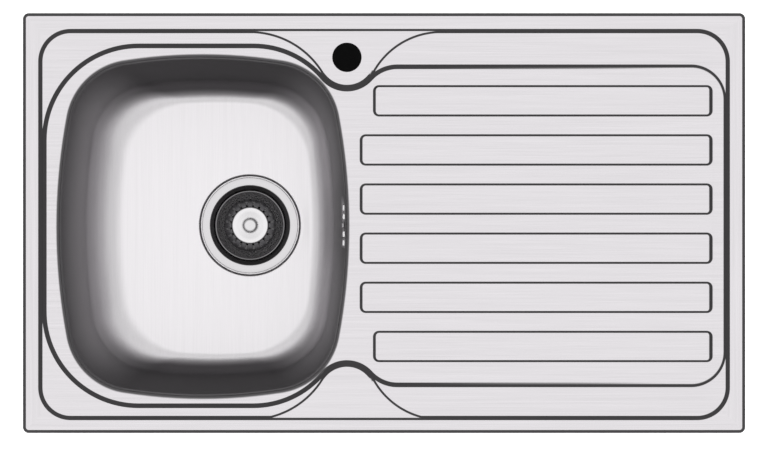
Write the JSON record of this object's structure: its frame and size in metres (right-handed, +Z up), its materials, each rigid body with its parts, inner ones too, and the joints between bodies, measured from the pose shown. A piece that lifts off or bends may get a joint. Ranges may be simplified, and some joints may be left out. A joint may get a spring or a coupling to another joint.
{
  "type": "kitchen sink with drainboard",
  "caption": "Inset stainless kitchen sink: deep bowl on the left, ribbed drainboard on the right, tap hole, basket strainer waste, overflow and fixing clips.",
  "frame": {"origin": "middle of the sink in plan, at the height of the worktop face that the rim strip rests on", "axes": "+X to the drainboard end, +Y to the side with the tap hole, +Z up"},
  "size_m": [0.86, 0.5, 0.2528],
  "materials": {
    "brushed_stainless": "fine satin",
    "polished_stainless": "bright",
    "zinc_plated_steel": "dull bright zinc",
    "brass": "turned",
    "white_plastic": "moulded satin",
    "black_rubber": "matt",
    "grey_foam": "closed-cell foam"
  },
  "bodies": {
    "sink": {"deck": "brushed_stainless", "bowl": "brushed_stainless", "rim_seal": "grey_foam", "sound_pad": "grey_foam", "waste_flange": "polished_stainless", "flange_gasket": "black_rubber", "body_gasket": "black_rubber", "waste_body": "white_plastic", "waste_bolt": "polished_stainless", "waste_insert": "brass", "overflow_head": "white_plastic", "overflow_gasket": "black_rubber", "overflow_screw": "polished_stainless", "overflow_pipe": "white_plastic", "overflow_nut_top": "white_plastic", "overflow_seal_top": "black_rubber", "overflow_nut_side": "white_plastic", "overflow_seal_side": "black_rubber", "clip_1_bracket": "zinc_plated_steel", "clip_2_bracket": "zinc_plated_steel", "clip_3_bracket": "zinc_plated_steel", "clip_4_bracket": "zinc_plated_steel", "clip_5_bracket": "zinc_plated_steel", "clip_6_bracket": "zinc_plated_steel", "clip_7_bracket": "zinc_plated_steel", "clip_8_bracket": "zinc_plated_steel"},
    "plug": {"basket_stopper": "black_rubber"},
    "basket": {"basket_cup": "polished_stainless", "basket_post": "polished_stainless", "basket_knob": "polished_stainless", "post_clip": "polished_stainless"},
    "clip_1_carriage": {"clip_1_washer": "zinc_plated_steel"},
    "clip_1_screw": {"clip_1_screw": "zinc_plated_steel"},
    "clip_1_claw": {"clip_1_claw": "zinc_plated_steel"},
    "clip_2_carriage": {"clip_2_washer": "zinc_plated_steel"},
    "clip_2_screw": {"clip_2_screw": "zinc_plated_steel"},
    "clip_2_claw": {"clip_2_claw": "zinc_plated_steel"},
    "clip_3_carriage": {"clip_3_washer": "zinc_plated_steel"},
    "clip_3_screw": {"clip_3_screw": "zinc_plated_steel"},
    "clip_3_claw": {"clip_3_claw": "zinc_plated_steel"},
    "clip_4_carriage": {"clip_4_washer": "zinc_plated_steel"},
    "clip_4_screw": {"clip_4_screw": "zinc_plated_steel"},
    "clip_4_claw": {"clip_4_claw": "zinc_plated_steel"},
    "clip_5_carriage": {"clip_5_washer": "zinc_plated_steel"},
    "clip_5_screw": {"clip_5_screw": "zinc_plated_steel"},
    "clip_5_claw": {"clip_5_claw": "zinc_plated_steel"},
    "clip_6_carriage": {"clip_6_washer": "zinc_plated_steel"},
    "clip_6_screw": {"clip_6_screw": "zinc_plated_steel"},
    "clip_6_claw": {"clip_6_claw": "zinc_plated_steel"},
    "clip_7_carriage": {"clip_7_washer": "zinc_plated_steel"},
    "clip_7_screw": {"clip_7_screw": "zinc_plated_steel"},
    "clip_7_claw": {"clip_7_claw": "zinc_plated_steel"},
    "clip_8_carriage": {"clip_8_washer": "zinc_plated_steel"},
    "clip_8_screw": {"clip_8_screw": "zinc_plated_steel"},
    "clip_8_claw": {"clip_8_claw": "zinc_plated_steel"}
  },
  "joints": [
    {"name": "basket_lift", "type": "slide", "parent": "sink", "child": "plug", "axis": [0, 0, 1], "range_m": [0, 0.23]},
    {"name": "basket_turn", "type": "hinge", "parent": "plug", "child": "basket", "pos_m": [-0.1606, -0.0027, -0.19], "axis": [0, 0, 1], "continuous": true},
    {"name": "clip_1_climb", "type": "slide", "parent": "sink", "child": "clip_1_carriage", "axis": [0, 0, 1], "range_m": [0, 0.016]},
    {"name": "clip_1_screw_turn", "type": "hinge", "parent": "clip_1_carriage", "child": "clip_1_screw", "pos_m": [-0.25, 0.2199, -0.0505], "axis": [0, 0, 1], "range_deg": [0, 7200.01]},
    {"name": "clip_1_claw_swing", "type": "hinge", "parent": "clip_1_carriage", "child": "clip_1_claw", "pos_m": [-0.25, 0.2199, -0.0505], "axis": [0, 0, -1], "range_deg": [0, 90]},
    {"name": "clip_2_climb", "type": "slide", "parent": "sink", "child": "clip_2_carriage", "axis": [0, 0, 1], "range_m": [0, 0.016]},
    {"name": "clip_2_screw_turn", "type": "hinge", "parent": "clip_2_carriage", "child": "clip_2_screw", "pos_m": [0.1, 0.2199, -0.0505], "axis": [0, 0, 1], "range_deg": [0, 7200.01]},
    {"name": "clip_2_claw_swing", "type": "hinge", "parent": "clip_2_carriage", "child": "clip_2_claw", "pos_m": [0.1, 0.2199, -0.0505], "axis": [0, 0, -1], "range_deg": [0, 90]},
    {"name": "clip_3_climb", "type": "slide", "parent": "sink", "child": "clip_3_carriage", "axis": [0, 0, 1], "range_m": [0, 0.016]},
    {"name": "clip_3_screw_turn", "type": "hinge", "parent": "clip_3_carriage", "child": "clip_3_screw", "pos_m": [0.33, 0.2199, -0.0505], "axis": [0, 0, 1], "range_deg": [0, 7200.01]},
    {"name": "clip_3_claw_swing", "type": "hinge", "parent": "clip_3_carriage", "child": "clip_3_claw", "pos_m": [0.33, 0.2199, -0.0505], "axis": [0, 0, -1], "range_deg": [0, 90]},
    {"name": "clip_4_climb", "type": "slide", "parent": "sink", "child": "clip_4_carriage", "axis": [0, 0, 1], "range_m": [0, 0.016]},
    {"name": "clip_4_screw_turn", "type": "hinge", "parent": "clip_4_carriage", "child": "clip_4_screw", "pos_m": [-0.25, -0.2249, -0.0505], "axis": [0, 0, 1], "range_deg": [0, 7200.01]},
    {"name": "clip_4_claw_swing", "type": "hinge", "parent": "clip_4_carriage", "child": "clip_4_claw", "pos_m": [-0.25, -0.2249, -0.0505], "axis": [0, 0, -1], "range_deg": [0, 90]},
    {"name": "clip_5_climb", "type": "slide", "parent": "sink", "child": "clip_5_carriage", "axis": [0, 0, 1], "range_m": [0, 0.016]},
    {"name": "clip_5_screw_turn", "type": "hinge", "parent": "clip_5_carriage", "child": "clip_5_screw", "pos_m": [0.1, -0.2249, -0.0505], "axis": [0, 0, 1], "range_deg": [0, 7200.01]},
    {"name": "clip_5_claw_swing", "type": "hinge", "parent": "clip_5_carriage", "child": "clip_5_claw", "pos_m": [0.1, -0.2249, -0.0505], "axis": [0, 0, -1], "range_deg": [0, 90]},
    {"name": "clip_6_climb", "type": "slide", "parent": "sink", "child": "clip_6_carriage", "axis": [0, 0, 1], "range_m": [0, 0.016]},
    {"name": "clip_6_screw_turn", "type": "hinge", "parent": "clip_6_carriage", "child": "clip_6_screw", "pos_m": [0.33, -0.2249, -0.0505], "axis": [0, 0, 1], "range_deg": [0, 7200.01]},
    {"name": "clip_6_claw_swing", "type": "hinge", "parent": "clip_6_carriage", "child": "clip_6_claw", "pos_m": [0.33, -0.2249, -0.0505], "axis": [0, 0, -1], "range_deg": [0, 90]},
    {"name": "clip_7_climb", "type": "slide", "parent": "sink", "child": "clip_7_carriage", "axis": [0, 0, 1], "range_m": [0, 0.016]},
    {"name": "clip_7_screw_turn", "type": "hinge", "parent": "clip_7_carriage", "child": "clip_7_screw", "pos_m": [-0.3964, -0.0042, -0.0551], "axis": [0, 0, 1], "range_deg": [0, 7200.01]},
    {"name": "clip_7_claw_swing", "type": "hinge", "parent": "clip_7_carriage", "child": "clip_7_claw", "pos_m": [-0.3964, -0.0042, -0.0551], "axis": [0, 0, -1], "range_deg": [0, 90]},
    {"name": "clip_8_climb", "type": "slide", "parent": "sink", "child": "clip_8_carriage", "axis": [0, 0, 1], "range_m": [0, 0.016]},
    {"name": "clip_8_screw_turn", "type": "hinge", "parent": "clip_8_carriage", "child": "clip_8_screw", "pos_m": [0.3981, -0.0033, -0.0522], "axis": [0, 0, 1], "range_deg": [0, 7200.01]},
    {"name": "clip_8_claw_swing", "type": "hinge", "parent": "clip_8_carriage", "child": "clip_8_claw", "pos_m": [0.3981, -0.0033, -0.0522], "axis": [0, 0, -1], "range_deg": [0, 90]}
  ],
  "couplings": [
    {"joint": "clip_1_screw_turn", "follows": "clip_1_climb", "rad_per_m": 7854},
    {"joint": "clip_2_screw_turn", "follows": "clip_2_climb", "rad_per_m": 7854},
    {"joint": "clip_3_screw_turn", "follows": "clip_3_climb", "rad_per_m": 7854},
    {"joint": "clip_4_screw_turn", "follows": "clip_4_climb", "rad_per_m": 7854},
    {"joint": "clip_5_screw_turn", "follows": "clip_5_climb", "rad_per_m": 7854},
    {"joint": "clip_6_screw_turn", "follows": "clip_6_climb", "rad_per_m": 7854},
    {"joint": "clip_7_screw_turn", "follows": "clip_7_climb", "rad_per_m": 7854},
    {"joint": "clip_8_screw_turn", "follows": "clip_8_climb", "rad_per_m": 7854}
  ]
}
